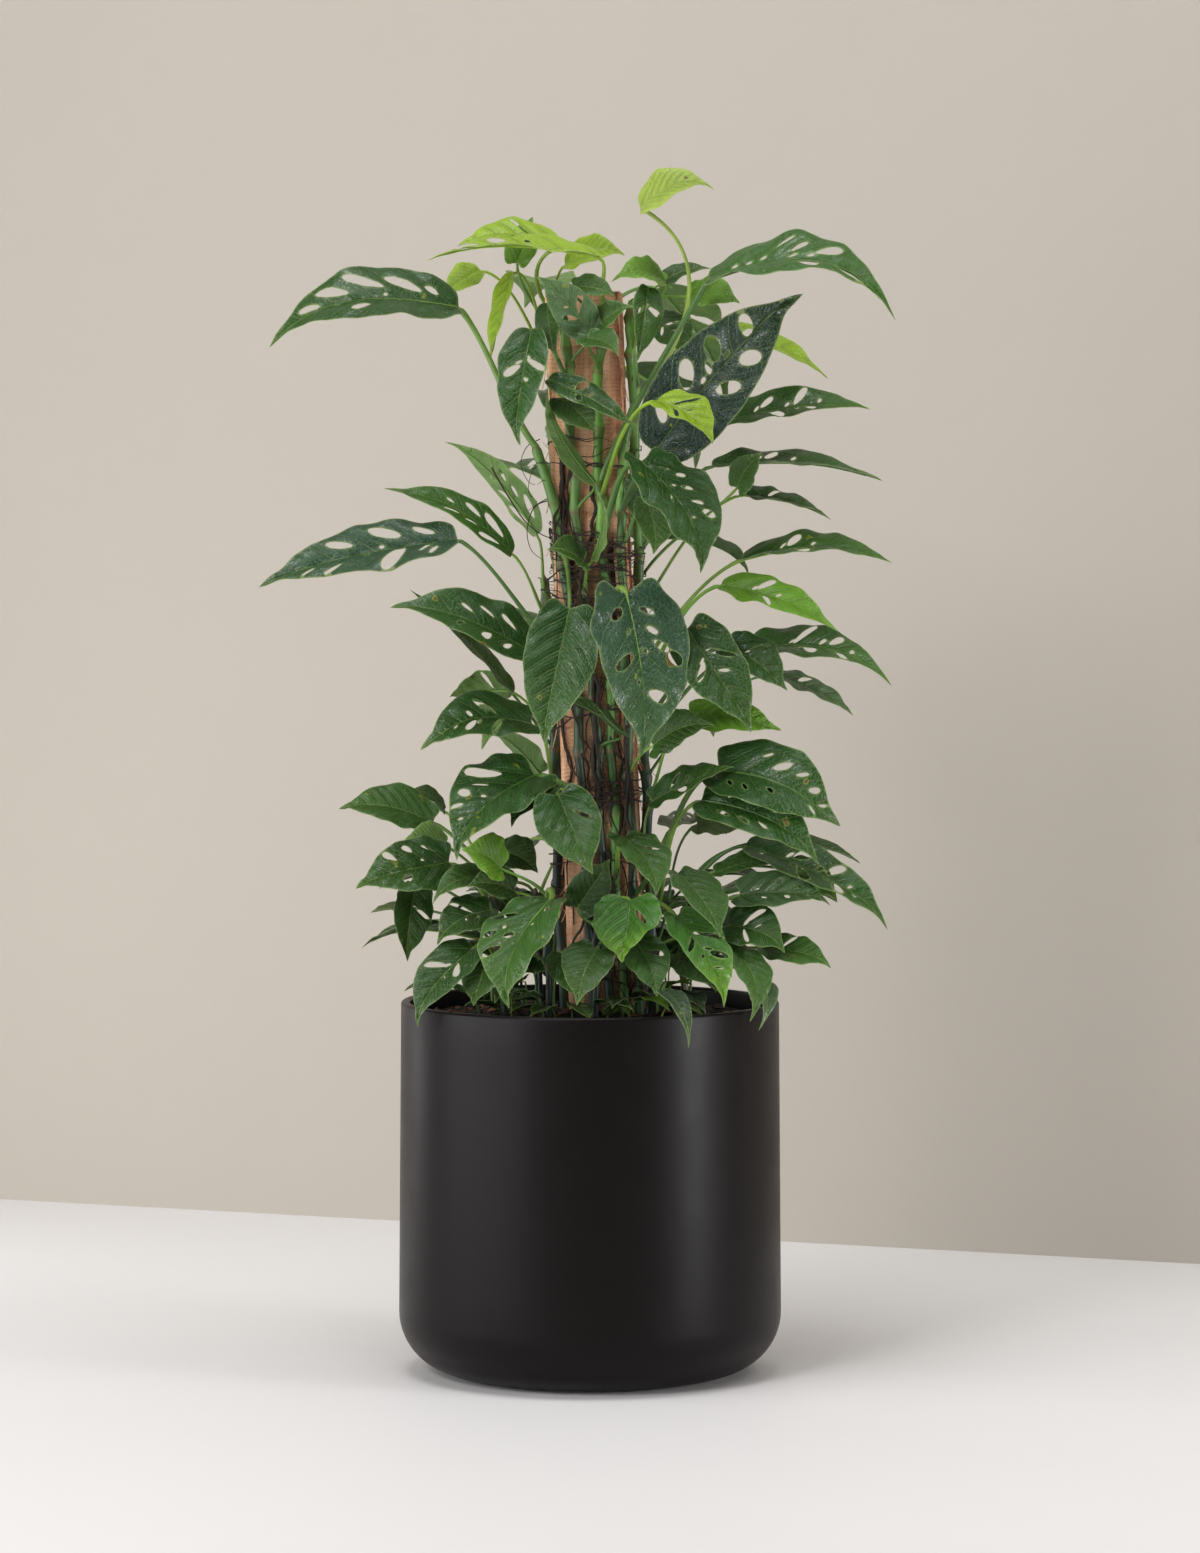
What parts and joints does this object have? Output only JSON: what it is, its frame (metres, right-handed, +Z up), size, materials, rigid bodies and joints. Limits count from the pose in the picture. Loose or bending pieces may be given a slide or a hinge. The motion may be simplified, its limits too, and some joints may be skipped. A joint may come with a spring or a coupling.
{
  "type": "potted climbing monstera adansonii",
  "caption": "Swiss-cheese vine with holed leaves climbing a sawn timber stake in a plain round dark planter.",
  "frame": {"origin": "centre of the planter's flat underside", "axes": "+Z up along the planter's axis, -Y towards the front that the large leaves face, +X to the right seen from the front"},
  "size_m": [0.5032, 0.4164, 0.9636],
  "materials": {
    "planter": "satin",
    "potting_mix": "matte",
    "stake": "matte",
    "foliage": "satin"
  },
  "bodies": {
    "root": {"planter": "planter", "potting_mix": "potting_mix", "stake": "stake", "vine_front_left": "foliage", "vine_front_middle": "foliage", "vine_front_right": "foliage", "vine_right_front": "foliage", "vine_right_side": "foliage", "vine_right_rear": "foliage", "vine_left_side": "foliage", "vine_left_rear": "foliage", "shoot_left": "foliage", "shoot_front_left": "foliage", "shoot_front_middle": "foliage", "shoot_front_right": "foliage", "shoot_right": "foliage", "vine_rear_left": "foliage", "vine_rear_right": "foliage", "shoot_rear_left": "foliage", "shoot_rear_right": "foliage"}
  },
  "joints": []
}
